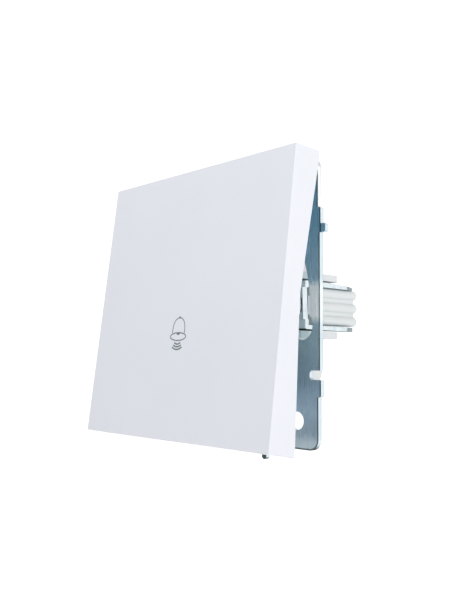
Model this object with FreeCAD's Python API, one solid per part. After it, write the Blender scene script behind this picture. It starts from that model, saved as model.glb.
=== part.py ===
import FreeCAD, Part
import math
import os

# Flush doorbell push: a rocking key plate on a stamped steel support ring, with the
# contact block and its two spreader claws behind it. Millimetres; X to the right,
# Y from the room into the wall, Z up. The origin is the centre of the ring's back face.
# Each piece is drawn with the key pushed flat, and the key side is then tilted to rest.

# Support ring, stamped sheet
RING_T = 1.2
RING_HALF_W = 35.5
RING_HALF_H = 37.0
RING_STEP = 0.8
RING_STEP_AT = 23.3
RING_SHOULDER_CLIP = 0.4
RING_EDGE_RELIEF = 0.25
RING_CORNER_R = 2.8
TAB_OFFSET = 18.0
SIDE_TAB_W = 2.2
SIDE_TAB_L = 1.5
SIDE_TAB_CLIP = 0.3
END_TAB_OFFSET = 16.7
END_TAB_W = 1.6
END_TAB_L = 2.8
END_TAB_CLIP = 0.5
NOTCH_W = 2.3
NOTCH_D = 3.5
NOTCH_CLIP = 0.5
OPENING_HALF_W = 15.5
OPENING_HALF_H = 17.0
OPENING_R = 2.5

# Fixing holes of the ring
KEYHOLE_CIRCLE_R = 30.0
KEYHOLE_HEAD_R = 3.5
KEYHOLE_SLOT_W = 4.0
KEYHOLE_HEAD_DEG = -11.3
KEYHOLE_END_DEG = 22.0
CORNER_HOLE_R = 2.25
CORNER_HOLE_INSET = 6.9

# Key plate
KEY_W = 72.8
KEY_FACE_T = 1.8
KEY_WALL_T = 1.6
KEY_DEPTH = 8.1
KEY_DEPTH_MIDDLE = 5.45
KEY_FLARE = 0.5
KEY_EDGE_R = 0.15
KEY_RIB_OFFSET = 22.0
KEY_RIB_T = 1.2
KEY_RIB_H = 2.0

# Rocking motion
PIVOT_FROM_WALL = 8.15
PIVOT_TO_FACE = 7.71
REST_TILT_DEG = 7.3

# Rocker and its trunnions
ROCKER_HALF_W = 16.6
ROCKER_HALF_H = 18.0
ROCKER_T = 1.6
ROCKER_CLIP = 1.2
ROCKER_SEAT_GAP = 0.15
ROCKER_BOSS_R = 2.6
ROCKER_ARM_HALF_H = 9.0
TRUNNION_R = 1.5
TRUNNION_GAP = 0.05
FOOT_R = 1.0
FOOT_HALF_W = 2.5
FOOT_WEB_T = 1.6
STOP_X = 13.4
STOP_Z = 14.0
STOP_GAP = 0.1

# Clips that hold the key on the rocker
CLIP_X = 9.0
CLIP_Z = 13.4
CLIP_W = 5.0
CLIP_T = 1.5
CLIP_HOOK = 0.7
CLIP_HOOK_L = 1.6
CLIP_GAP = 0.3

# Front cover of the contact block
COVER_HALF_W = 19.4
COVER_HALF_H = 19.8
COVER_T = 1.8
COVER_CLIP = 2.5
COVER_CHAMFER = 0.4
COVER_SPIGOT_L = 1.1
COVER_SPIGOT_T = 1.2
COVER_SPIGOT_CLIP = 1.8
COVER_SPIGOT_GAP = 0.2
CHEEK_T = 2.2
CHEEK_GAP = 0.4
CHEEK_HALF_H = 5.2
CHEEK_R = 3.0
CHEEK_MOUTH_W = 2.5

# Housing behind the ring
HOUSING_HALF_W = 19.0
HOUSING_HALF_H = 22.0
HOUSING_DEPTH = 19.5
HOUSING_WALL = 1.6
HOUSING_R = 5.0
BEAM_DEPTH = 27.4
PILLAR_FROM = 9.8
PILLAR_X = 25.0
PILLAR_RIB_R = 1.32
PILLAR_RIB_PITCH = 3.64
PILLAR_RIB_RISE = 1.15
PILLAR_RIB_CHAMFER = 0.15
PILLAR_RIBS = 3
GUIDE_FROM_Z = 6.8
GUIDE_T = 1.8
GUIDE_FROM = 3.2
GUIDE_DEPTH = 19.1
GUIDE_CLIP = 0.5
POCKET_WALL = 1.4
POCKET_DEPTH = 6.0

# Rivets through cover, ring and housing
RIVET_X = 17.2
RIVET_Z = 14.0
RIVET_R = 1.0
RIVET_HEAD_R = 1.7
RIVET_HEAD_H = 0.7
RIVET_BOSS_HALF = 2.1
RIVET_GAP = 0.05

# Spreader claws, bent from strip
CLAW_T = 1.35
CLAW_INNER_Z = 5.15
CLAW_BEND_R = 0.6
CLAW_PIVOT_X = 20.1
CLAW_PIVOT_Y = 5.6
CLAW_BEAD_R = 0.7
CLAW_OUTER_X = 25.4
CLAW_LIP_H = 0.7
CLAW_LIP_T = 0.6
CLAW_LEG_OUTER_X = 25.2
CLAW_LEG_INNER_X = 21.6
CLAW_BEVEL_Y = 23.0
CLAW_TIP_Y = 26.7
CLAW_TIP_X = 24.0
CLAW_TIP_W = 1.2
CLAW_HOLE_X = 22.75
CLAW_HOLE_R = 1.95
CLAW_HOLE_HALF_L = 0.5
CLAW_SEAT_GAP = 0.3
CLAW_SEAT_T = 1.5

# Claw screws and their square nuts
CLAW_SCREW_X = 22.5
CLAW_SCREW_R = 1.5
CLAW_SCREW_END_Y = 9.4
CLAW_SCREW_HEAD_R = 2.8
CLAW_SCREW_HEAD_H = 1.9
CLAW_SCREW_GAP = 0.2
CLAW_NUT_W = 5.0
CLAW_NUT_T = 2.2
CLAW_NUT_GAP = 0.25
RECESS_L = 3.0
RECESS_W = 0.8
RECESS_D = 1.0

# Plunger and contacts
PLUNGER_Z = -12.0
PLUNGER_R = 2.5
PLUNGER_GUIDE_GAP = 0.15
PLUNGER_CLEAR = 0.1
PLUNGER_PROUD = 0.6
PLUNGER_FLANGE_HALF = 3.4
PLUNGER_FLANGE_T = 1.8
PLUNGER_SPIGOT_R = 1.6
PLUNGER_SPIGOT_L = 2.8
BRIDGE_HALF_L = 9.2
BRIDGE_HALF_W = 2.4
BRIDGE_T = 0.8
BRIDGE_CHAMFER = 0.8
CONTACT_X = 7.2
CONTACT_R = 1.5
CONTACT_T = 0.6
CONTACT_LAST_GAP = 0.07
STRIP_T = 0.8
STRIP_INNER_X = 4.8
STRIP_TOP_Z = -9.5
STRIP_END_GAP = 0.5

# Return spring and its seat in the housing
SPRING_WIRE_R = 0.3
SPRING_WIRE_SIDES = 5
SPRING_R = 2.4
SPRING_TURNS = 3.0
SPRING_SEAT_Y = 9.5
SPRING_SEAT_HALF = 3.2
SPRING_SPIGOT_R = 1.5
SPRING_SPIGOT_L = 1.9

# Terminals
CAGE_X = 11.5
CAGE_W = 6.4
CAGE_H = 6.0
CAGE_L = 8.0
CAGE_WALL = 0.9
CAGE_GAP = 0.1
TERMINAL_SCREW_R = 1.5
TERMINAL_SCREW_HEAD_R = 2.0
TERMINAL_SCREW_HEAD_H = 1.4
TERMINAL_SCREW_REACH = 1.2
TERMINAL_ACCESS_GAP = 0.3
TERMINAL_SLOT_W = 0.8
TERMINAL_SLOT_D = 0.7
WIRE_ENTRY_W = 3.6
WIRE_ENTRY_FLARE = 0.5

# Worked out from the values above
RING_FRONT_Y = -RING_T
COVER_FRONT_Y = RING_FRONT_Y - COVER_T
PIVOT_Y = -PIVOT_FROM_WALL
KEY_FACE_Y = PIVOT_Y - PIVOT_TO_FACE
KEY_INSIDE_Y = KEY_FACE_Y + KEY_FACE_T
KEY_BACK_Y = KEY_FACE_Y + KEY_DEPTH
ROCKER_FRONT_Y = KEY_INSIDE_Y + ROCKER_SEAT_GAP
ROCKER_BACK_Y = ROCKER_FRONT_Y + ROCKER_T
CHEEK_INNER_X = ROCKER_HALF_W + CHEEK_GAP
CHEEK_OUTER_X = CHEEK_INNER_X + CHEEK_T
TILT_SIN = math.sin(math.radians(REST_TILT_DEG))
TILT_COS = math.cos(math.radians(REST_TILT_DEG))
PLUNGER_TRAVEL = -PLUNGER_Z * math.radians(REST_TILT_DEG)
FLANGE_FRONT_Y = RING_FRONT_Y + PLUNGER_CLEAR
FLANGE_BACK_Y = FLANGE_FRONT_Y + PLUNGER_FLANGE_T
BRIDGE_BACK_Y = FLANGE_BACK_Y + BRIDGE_T
MOVING_TIP_Y = BRIDGE_BACK_Y + CONTACT_T
FIXED_TIP_Y = MOVING_TIP_Y + PLUNGER_TRAVEL + CONTACT_LAST_GAP
STRIP_Y = FIXED_TIP_Y + CONTACT_T
FLOOR_Y = HOUSING_DEPTH - HOUSING_WALL
INSIDE_HALF_W = HOUSING_HALF_W - HOUSING_WALL
INSIDE_HALF_H = HOUSING_HALF_H - HOUSING_WALL
PILLAR_HALF_H = PILLAR_RIB_PITCH * (PILLAR_RIBS - 1) / 2 + PILLAR_RIB_R
CAGE_BOTTOM_Z = -INSIDE_HALF_H + CAGE_GAP
CAGE_TOP_Z = CAGE_BOTTOM_Z + CAGE_H
CAGE_BACK_Y = FLOOR_Y - CAGE_GAP
CAGE_FRONT_Y = CAGE_BACK_Y - CAGE_L
CAGE_MIDDLE_Y = (CAGE_BACK_Y + CAGE_FRONT_Y) / 2
STRIP_TAIL_Z = CAGE_TOP_Z - CAGE_WALL - STRIP_T
WIRE_Z = (CAGE_BOTTOM_Z + CAGE_WALL + STRIP_TAIL_Z) / 2


def vec(x, y, z):
    return FreeCAD.Vector(x, y, z)


def box(x, y, z):
    """A block between the low and high value given for each axis."""
    size = [high - low for low, high in (x, y, z)]
    return Part.makeBox(size[0], size[1], size[2], vec(x[0], y[0], z[0]))


def rod_x(y, z, radius, x):
    return Part.makeCylinder(radius, x[1] - x[0], vec(x[0], y, z), vec(1, 0, 0))


def rod_y(x, z, radius, y):
    return Part.makeCylinder(radius, y[1] - y[0], vec(x, y[0], z), vec(0, 1, 0))


def rod_z(x, y, radius, z):
    return Part.makeCylinder(radius, z[1] - z[0], vec(x, y, z[0]), vec(0, 0, 1))


def rounded_block(half_w, half_h, radius, y):
    """A block along Y whose four long edges are rounded."""
    block = box((-half_w, half_w), y, (-half_h, half_h))
    corners = [e for e in block.Edges if abs(e.tangentAt(e.FirstParameter).y) > 0.9]
    return block.makeFillet(radius, corners)


def prism_x(points, x):
    """An outline of (y, z) points drawn out along X."""
    wire = Part.makePolygon([vec(x[0], y, z) for y, z in points + points[:1]])
    return Part.Face(wire).extrude(vec(x[1] - x[0], 0, 0))


def prism_y(points, y):
    """An outline of (x, z) points drawn out along Y."""
    wire = Part.makePolygon([vec(x, y[0], z) for x, z in points + points[:1]])
    return Part.Face(wire).extrude(vec(0, y[1] - y[0], 0))


def prism_z(points, z):
    """An outline of (x, y) points drawn out along Z."""
    wire = Part.makePolygon([vec(x, y, z[0]) for x, y in points + points[:1]])
    return Part.Face(wire).extrude(vec(0, 0, z[1] - z[0]))


def clipped_block(half_w, half_h, clip, y):
    """A block along Y whose four long edges are clipped off."""
    upper = [(half_w, half_h - clip), (half_w - clip, half_h)]
    upper += [(-x, z) for x, z in reversed(upper)]
    return prism_y(upper + [(-x, -z) for x, z in upper], y)


def flared_block(half, flare, y):
    """A square block along Y that stands out further on every side at its deep end."""
    wide = half + flare
    return Part.makeWedge(-half, y[0], -half, -wide, -wide, half, y[1], half, wide, wide)


def mirrored(shape):
    """The same piece on the left side."""
    return shape.mirror(vec(0, 0, 0), vec(1, 0, 0))


def turned(shape, degrees):
    """The shape turned about the Y axis, which a fourfold stamping repeats round."""
    copy = shape.copy()
    copy.rotate(vec(0, 0, 0), vec(0, 1, 0), degrees)
    return copy


def at_rest(shape):
    """Tilts a piece of the key side about its trunnions, bottom edge outwards."""
    copy = shape.copy()
    copy.rotate(vec(0, PIVOT_Y, 0), vec(1, 0, 0), -REST_TILT_DEG)
    return copy


def corners(x, z):
    return [(sx * x, sz * z) for sx in (-1, 1) for sz in (-1, 1)]


def diagonal(x, z):
    """Two opposite corners, which are the same seen from either side."""
    return [(x, z), (-x, -z)]


def key_plate():
    """Moulded plate with a flared skirt that is relieved to a shallow V at both sides."""
    half = KEY_W / 2
    key = flared_block(half, KEY_FLARE, (KEY_FACE_Y, KEY_BACK_Y))
    soft = [e for e in key.Edges if e.BoundBox.YMin < KEY_BACK_Y - KEY_EDGE_R]
    key = key.makeFillet(KEY_EDGE_R, soft)
    flare_inside = KEY_FLARE * KEY_FACE_T / KEY_DEPTH
    inner = half + flare_inside - KEY_WALL_T
    key = key.cut(flared_block(inner, KEY_FLARE - flare_inside, (KEY_INSIDE_Y, KEY_BACK_Y)))
    middle_y = KEY_FACE_Y + KEY_DEPTH_MIDDLE
    relief = [(KEY_BACK_Y + 1, inner), (KEY_BACK_Y, inner), (middle_y, 0)]
    relief += [(KEY_BACK_Y, -inner), (KEY_BACK_Y + 1, -inner)]
    key = key.cut(prism_x(relief, (-half - KEY_FLARE - 1, half + KEY_FLARE + 1)))
    rib_y = (KEY_INSIDE_Y, KEY_INSIDE_Y + KEY_RIB_H)
    rib_end = inner + KEY_WALL_T / 2
    extras = []
    for side in (-1, 1):
        rib = (side * KEY_RIB_OFFSET - KEY_RIB_T / 2, side * KEY_RIB_OFFSET + KEY_RIB_T / 2)
        extras.append(box(rib, rib_y, (-rib_end, rib_end)))
        extras.append(box((-rib_end, rib_end), rib_y, rib))
    for x, z in corners(CLIP_X, CLIP_Z):
        extras.append(key_clip(x, z))
    return key.multiFuse(extras).removeSplitter()


def key_clip(x, z):
    """A springy leg with a hook that snaps behind the edge of a rocker window."""
    out = 1 if z > 0 else -1
    hook_y = ROCKER_BACK_Y + CLIP_GAP
    faces = [z - out * CLIP_T / 2, z + out * CLIP_T / 2]
    points = [(KEY_INSIDE_Y, faces[0]), (KEY_INSIDE_Y, faces[1]), (hook_y, faces[1])]
    points.append((hook_y, faces[1] + out * CLIP_HOOK))
    points.append((hook_y + CLIP_HOOK_L, faces[1] - out * CLIP_HOOK / 2))
    points.append((hook_y + CLIP_HOOK_L, faces[0]))
    return prism_x(points, (x - CLIP_W / 2, x + CLIP_W / 2))


def rocker():
    """Carrier plate with two arms, their trunnions, the plunger foot and four stops."""
    body = clipped_block(ROCKER_HALF_W, ROCKER_HALF_H, ROCKER_CLIP, (ROCKER_FRONT_Y, ROCKER_BACK_Y))
    extras = []
    arm = [(ROCKER_BACK_Y, -ROCKER_ARM_HALF_H), (PIVOT_Y, -ROCKER_BOSS_R)]
    arm += [(PIVOT_Y, ROCKER_BOSS_R), (ROCKER_BACK_Y, ROCKER_ARM_HALF_H)]
    for side in (-1, 1):
        arm_x = sorted((side * ROCKER_HALF_W, side * (ROCKER_HALF_W - ROCKER_T)))
        extras.append(prism_x(arm, arm_x))
        extras.append(rod_x(PIVOT_Y, 0, ROCKER_BOSS_R, arm_x))
        pin_x = sorted((side * (ROCKER_HALF_W - ROCKER_T / 2), side * CHEEK_OUTER_X))
        extras.append(rod_x(PIVOT_Y, 0, TRUNNION_R, pin_x))
        stop_x = (side * STOP_X - FOOT_WEB_T / 2, side * STOP_X + FOOT_WEB_T / 2)
        extras.append(box(stop_x, (ROCKER_BACK_Y, rest_stop_y()), stop_span(1)))
        extras.append(box(stop_x, (ROCKER_BACK_Y, COVER_FRONT_Y - STOP_GAP), stop_span(-1)))
    extras.append(plunger_foot())
    body = body.multiFuse(extras)
    windows = []
    window_w = CLIP_W / 2 + CLIP_GAP
    window_in = CLIP_T / 2 + CLIP_GAP + CLIP_HOOK
    for x, z in corners(CLIP_X, CLIP_Z):
        out = 1 if z > 0 else -1
        span = sorted((z - out * window_in, z + out * (CLIP_T / 2 + CLIP_GAP / 2)))
        windows.append(box((x - window_w, x + window_w), (ROCKER_FRONT_Y - 1, ROCKER_BACK_Y + 1), span))
    return body.cut(windows).removeSplitter()


def stop_span(side):
    return sorted((side * STOP_Z - FOOT_WEB_T / 2, side * STOP_Z + FOOT_WEB_T / 2))


def rest_stop_y():
    """Depth at which the upper stops just clear the front cover with the key at rest."""
    reach = COVER_FRONT_Y - STOP_GAP - PIVOT_Y - (STOP_Z + FOOT_WEB_T / 2) * TILT_SIN
    return PIVOT_Y + reach / TILT_COS


def foot_centre_y():
    """The foot ends just short of the plunger head with the key pushed flat."""
    return plunger_head_y() + PLUNGER_TRAVEL - PLUNGER_CLEAR - FOOT_R


def plunger_head_y():
    """Place of the plunger's head at rest, a little above the cover when pushed."""
    return COVER_FRONT_Y - PLUNGER_PROUD - PLUNGER_TRAVEL


def plunger_foot():
    y = foot_centre_y()
    half = FOOT_WEB_T / 2
    web = box((-FOOT_HALF_W, FOOT_HALF_W), (ROCKER_BACK_Y, y), (PLUNGER_Z - half, PLUNGER_Z + half))
    tip = rod_x(y, PLUNGER_Z, FOOT_R, (-FOOT_HALF_W, FOOT_HALF_W))
    gusset = [(ROCKER_BACK_Y, PLUNGER_Z - 4), (ROCKER_BACK_Y, PLUNGER_Z + 9)]
    gusset += [(y - FOOT_R, PLUNGER_Z + half), (y - FOOT_R, PLUNGER_Z - half)]
    return web.multiFuse([tip, prism_x(gusset, (-half, half))])


def front_cover():
    """Insulating cover on the ring, with a spigot through it and two bearing cheeks."""
    cover = clipped_block(COVER_HALF_W, COVER_HALF_H, COVER_CLIP, (COVER_FRONT_Y, RING_FRONT_Y))
    rim = [e for e in cover.Edges if e.BoundBox.YMax < COVER_FRONT_Y + 0.01]
    cover = cover.makeChamfer(COVER_CHAMFER, rim)
    half_w = OPENING_HALF_W - COVER_SPIGOT_GAP
    half_h = OPENING_HALF_H - COVER_SPIGOT_GAP
    spigot_y = (RING_FRONT_Y, RING_FRONT_Y + COVER_SPIGOT_L)
    spigot = clipped_block(half_w, half_h, COVER_SPIGOT_CLIP, spigot_y)
    hollow_clip = COVER_SPIGOT_CLIP - COVER_SPIGOT_T / 2
    hollow = clipped_block(half_w - COVER_SPIGOT_T, half_h - COVER_SPIGOT_T, hollow_clip, spigot_y)
    extras = [spigot.cut(hollow)]
    cheek = [(COVER_FRONT_Y, -CHEEK_HALF_H), (PIVOT_Y, -CHEEK_R)]
    cheek += [(PIVOT_Y, CHEEK_R), (COVER_FRONT_Y, CHEEK_HALF_H)]
    cuts = [rod_y(0, PLUNGER_Z, PLUNGER_R + PLUNGER_GUIDE_GAP, (COVER_FRONT_Y - 1, RING_FRONT_Y + 1))]
    for side in (-1, 1):
        x = sorted((side * CHEEK_INNER_X, side * CHEEK_OUTER_X))
        extras.append(prism_x(cheek, x))
        extras.append(rod_x(PIVOT_Y, 0, CHEEK_R, x))
        cuts.append(rod_x(PIVOT_Y, 0, TRUNNION_R + TRUNNION_GAP, x))
        mouth_y = (PIVOT_Y - CHEEK_R - 1, PIVOT_Y)
        cuts.append(box(x, mouth_y, (-CHEEK_MOUTH_W / 2, CHEEK_MOUTH_W / 2)))
    for x, z in diagonal(RIVET_X, RIVET_Z):
        cuts.append(rod_y(x, z, RIVET_R + RIVET_GAP, (COVER_FRONT_Y - 1, RING_FRONT_Y + 1)))
    return cover.multiFuse(extras).cut(cuts).removeSplitter()


def on_circle(radius, degrees, y):
    angle = math.radians(degrees)
    return vec(radius * math.cos(angle), y, radius * math.sin(angle))


def keyhole():
    """Arc slot on the fixing circle that opens into a round hole for a screw head."""
    low_y = RING_FRONT_Y - 1
    reach = vec(0, RING_T + 2, 0)
    middle = (KEYHOLE_HEAD_DEG + KEYHOLE_END_DEG) / 2
    arcs = []
    for radius in (KEYHOLE_CIRCLE_R - KEYHOLE_SLOT_W / 2, KEYHOLE_CIRCLE_R + KEYHOLE_SLOT_W / 2):
        ends = [on_circle(radius, a, low_y) for a in (KEYHOLE_HEAD_DEG, middle, KEYHOLE_END_DEG)]
        arcs.append(Part.Arc(ends[0], ends[1], ends[2]).toShape())
    joins = [Part.makeLine(arcs[0].Vertexes[i].Point, arcs[1].Vertexes[i].Point) for i in (0, 1)]
    band = Part.Face(Part.Wire([arcs[0], joins[1], arcs[1], joins[0]])).extrude(reach)
    end = on_circle(KEYHOLE_CIRCLE_R, KEYHOLE_END_DEG, low_y)
    head = on_circle(KEYHOLE_CIRCLE_R, KEYHOLE_HEAD_DEG, low_y)
    tip = Part.makeCylinder(KEYHOLE_SLOT_W / 2, reach.y, end, vec(0, 1, 0))
    round_hole = Part.makeCylinder(KEYHOLE_HEAD_R, reach.y, head, vec(0, 1, 0))
    return band.multiFuse([tip, round_hole])


def tongue(x, offset, width, clip, y):
    """Flat tongue along X, with both corners of its end at the second x clipped."""
    root, end = x
    back = clip if end > root else -clip
    half = width / 2
    points = [(root, -half), (end - back, -half), (end, clip - half)]
    points += [(px, -pz) for px, pz in reversed(points)]
    return prism_y([(px, offset + pz) for px, pz in points], y)


def edge_tab(half, offset, width, length, clip):
    """Tab on the right edge, which fits the notch of a neighbouring ring."""
    return tongue((half - 1, half + length), offset, width, clip, (RING_FRONT_Y, 0))


def edge_notch(half, offset):
    """Notch with clipped inner corners, cut into the right edge."""
    return tongue((half + 1, half - NOTCH_D), offset, NOTCH_W, NOTCH_CLIP, (RING_FRONT_Y - 1, 1))


def support_ring():
    """Flat stamping with stepped edges, joining tabs and notches, and keyhole slots."""
    y = (RING_FRONT_Y, 0)
    inset_w = RING_HALF_W - RING_STEP
    inset_h = RING_HALF_H - RING_STEP
    plate = rounded_block(inset_w, inset_h, RING_CORNER_R, y)
    through = (RING_FRONT_Y - 1, 1)
    bands = [clipped_block(RING_HALF_W, RING_STEP_AT, RING_SHOULDER_CLIP, y)]
    bands.append(clipped_block(RING_STEP_AT, RING_HALF_H, RING_SHOULDER_CLIP, y))
    cuts = [rounded_block(OPENING_HALF_W, OPENING_HALF_H, OPENING_R, through)]
    for quarter in range(4):
        angle = 90 * quarter
        upright = quarter % 2 == 1
        half = RING_HALF_H if upright else RING_HALF_W
        tab_at = END_TAB_OFFSET if upright else TAB_OFFSET
        tab_w = END_TAB_W if upright else SIDE_TAB_W
        tab_l = END_TAB_L if upright else SIDE_TAB_L
        tab_clip = END_TAB_CLIP if upright else SIDE_TAB_CLIP
        bands.append(turned(edge_tab(half, tab_at, tab_w, tab_l, tab_clip), angle))
        relief = box((half - RING_EDGE_RELIEF, half + 1), through, (-tab_at, tab_at - tab_w / 2))
        cuts.append(turned(relief, angle))
        cuts.append(turned(edge_notch(half, -tab_at), angle))
        cuts.append(turned(keyhole(), angle))
    for x, z in corners(inset_w - CORNER_HOLE_INSET, inset_h - CORNER_HOLE_INSET):
        cuts.append(rod_y(x, z, CORNER_HOLE_R, through))
    for x, z in diagonal(RIVET_X, RIVET_Z):
        cuts.append(rod_y(x, z, RIVET_R + RIVET_GAP, through))
    for side in (-1, 1):
        cuts.append(rod_y(side * CLAW_SCREW_X, 0, CLAW_SCREW_R + CLAW_SCREW_GAP, through))
    return plate.multiFuse(bands).cut(cuts).removeSplitter()


def ribbed_pillar():
    """Side pillar between the claw's legs, with rounded ribs that run into the wall box."""
    root_x = PILLAR_X - PILLAR_RIB_RISE
    y = (PILLAR_FROM, BEAM_DEPTH)
    core = box((HOUSING_HALF_W - HOUSING_WALL, root_x), y, (-PILLAR_HALF_H, PILLAR_HALF_H))
    ribs = []
    for index in range(PILLAR_RIBS):
        z = (index - (PILLAR_RIBS - 1) / 2) * PILLAR_RIB_PITCH
        rib = rod_y(PILLAR_X - PILLAR_RIB_R, z, PILLAR_RIB_R, y)
        ends = [e for e in rib.Edges if e.BoundBox.YMin > BEAM_DEPTH - 0.01]
        ribs.append(rib.makeChamfer(PILLAR_RIB_CHAMFER, ends))
    return core.multiFuse(ribs)


def claw_guides():
    """Short blocks outside the claw's legs, and the seat that its inner edge rocks in."""
    clipped_x = PILLAR_X - GUIDE_CLIP
    side = [(INSIDE_HALF_W, GUIDE_FROM), (clipped_x, GUIDE_FROM), (PILLAR_X, GUIDE_FROM + GUIDE_CLIP)]
    side += [(PILLAR_X, GUIDE_DEPTH - GUIDE_CLIP), (clipped_x, GUIDE_DEPTH), (INSIDE_HALF_W, GUIDE_DEPTH)]
    guide = prism_z(side, (GUIDE_FROM_Z, GUIDE_FROM_Z + GUIDE_T))
    lower = guide.mirror(vec(0, 0, 0), vec(0, 0, 1))
    bead_y = CLAW_BEAD_R + CLAW_SEAT_GAP
    reach = (INSIDE_HALF_W, CLAW_PIVOT_X + CLAW_BEAD_R / 2)
    lip_y = (CLAW_PIVOT_Y - bead_y - CLAW_SEAT_T, CLAW_PIVOT_Y - bead_y)
    half = CLAW_INNER_Z - CLAW_BEND_R
    parts = [lower, box(reach, lip_y, (-half, half))]
    stay_y = (CLAW_PIVOT_Y + bead_y, PILLAR_FROM)
    nut_clear = CLAW_NUT_W / 2 + CLAW_NUT_GAP
    for stay_z in ((nut_clear, half), (-half, -nut_clear)):
        parts.append(box(reach, stay_y, stay_z))
    return guide.multiFuse(parts)


def housing():
    """Moulded contact block: an open box, a cored rear beam and the claw pillars."""
    shell = rounded_block(HOUSING_HALF_W, HOUSING_HALF_H, HOUSING_R, (0, HOUSING_DEPTH))
    inner_r = HOUSING_R - HOUSING_WALL
    inside = rounded_block(INSIDE_HALF_W, INSIDE_HALF_H, inner_r, (0, FLOOR_Y))
    body = shell.cut(inside)
    side = [ribbed_pillar(), claw_guides()]
    extras = side + [mirrored(part) for part in side]
    beam_y = (FLOOR_Y, BEAM_DEPTH)
    extras.append(box((-HOUSING_HALF_W, HOUSING_HALF_W), beam_y, (-PILLAR_HALF_H, PILLAR_HALF_H)))
    for x, z in diagonal(RIVET_X, RIVET_Z):
        boss_x = (x - RIVET_BOSS_HALF, x + RIVET_BOSS_HALF)
        boss = box(boss_x, (0, HOUSING_DEPTH), (z - RIVET_BOSS_HALF, z + RIVET_BOSS_HALF))
        extras.append(boss.common(shell))
    seat_z = (PLUNGER_Z - SPRING_SEAT_HALF, PLUNGER_Z + SPRING_SEAT_HALF)
    extras.append(box((-SPRING_SEAT_HALF, SPRING_SEAT_HALF), (SPRING_SEAT_Y, FLOOR_Y), seat_z))
    spigot_y = (SPRING_SEAT_Y - SPRING_SPIGOT_L, SPRING_SEAT_Y)
    extras.append(rod_y(0, PLUNGER_Z, SPRING_SPIGOT_R, spigot_y))
    post_x = (STRIP_INNER_X + 0.4, CAGE_X - CAGE_W / 2 - 0.3)
    post = box(post_x, (STRIP_Y + STRIP_T, FLOOR_Y), (PLUNGER_Z - CONTACT_R, PLUNGER_Z + CONTACT_R))
    extras += [post, mirrored(post)]
    rib_z = (GUIDE_FROM_Z, GUIDE_FROM_Z + HOUSING_WALL)
    extras.append(box((-INSIDE_HALF_W, INSIDE_HALF_W), (FLOOR_Y - 9, FLOOR_Y), rib_z))
    body = body.multiFuse(extras)
    cuts = []
    for x, z in diagonal(RIVET_X, RIVET_Z):
        cuts.append(rod_y(x, z, RIVET_R + RIVET_GAP, (-1, HOUSING_DEPTH + 1)))
    for side_sign in (-1, 1):
        cuts.append(wire_entry(side_sign * CAGE_X))
        access_r = TERMINAL_SCREW_HEAD_R + TERMINAL_ACCESS_GAP
        access_z = (-HOUSING_HALF_H - 1, -INSIDE_HALF_H + 0.5)
        cuts.append(rod_z(side_sign * CAGE_X, CAGE_MIDDLE_Y, access_r, access_z))
    cuts += beam_pockets()
    return body.cut(cuts).removeSplitter()


def beam_pockets():
    """Coring of the rear beam, in three pockets with walls of even thickness."""
    count = 3
    span = 2 * (HOUSING_HALF_W - POCKET_WALL)
    pitch = (span + POCKET_WALL) / count
    half_h = PILLAR_HALF_H - POCKET_WALL
    pockets = []
    for index in range(count):
        low = -span / 2 + index * pitch
        pocket = box((low, low + pitch - POCKET_WALL), (BEAM_DEPTH - POCKET_DEPTH, BEAM_DEPTH + 1),
                     (-half_h, half_h))
        pockets.append(pocket)
    return pockets


def wire_entry(x):
    """Square funnel through the floor into a terminal cage."""
    wires = []
    for y, grow in ((FLOOR_Y - 0.01, 0), (HOUSING_DEPTH + 0.01, WIRE_ENTRY_FLARE)):
        half = WIRE_ENTRY_W / 2 + grow
        points = [vec(x + half * a, y, WIRE_Z + half * b) for a, b in ((-1, -1), (1, -1), (1, 1), (-1, 1))]
        wires.append(Part.makePolygon(points + points[:1]))
    return Part.makeLoft(wires, True, True)


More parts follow.
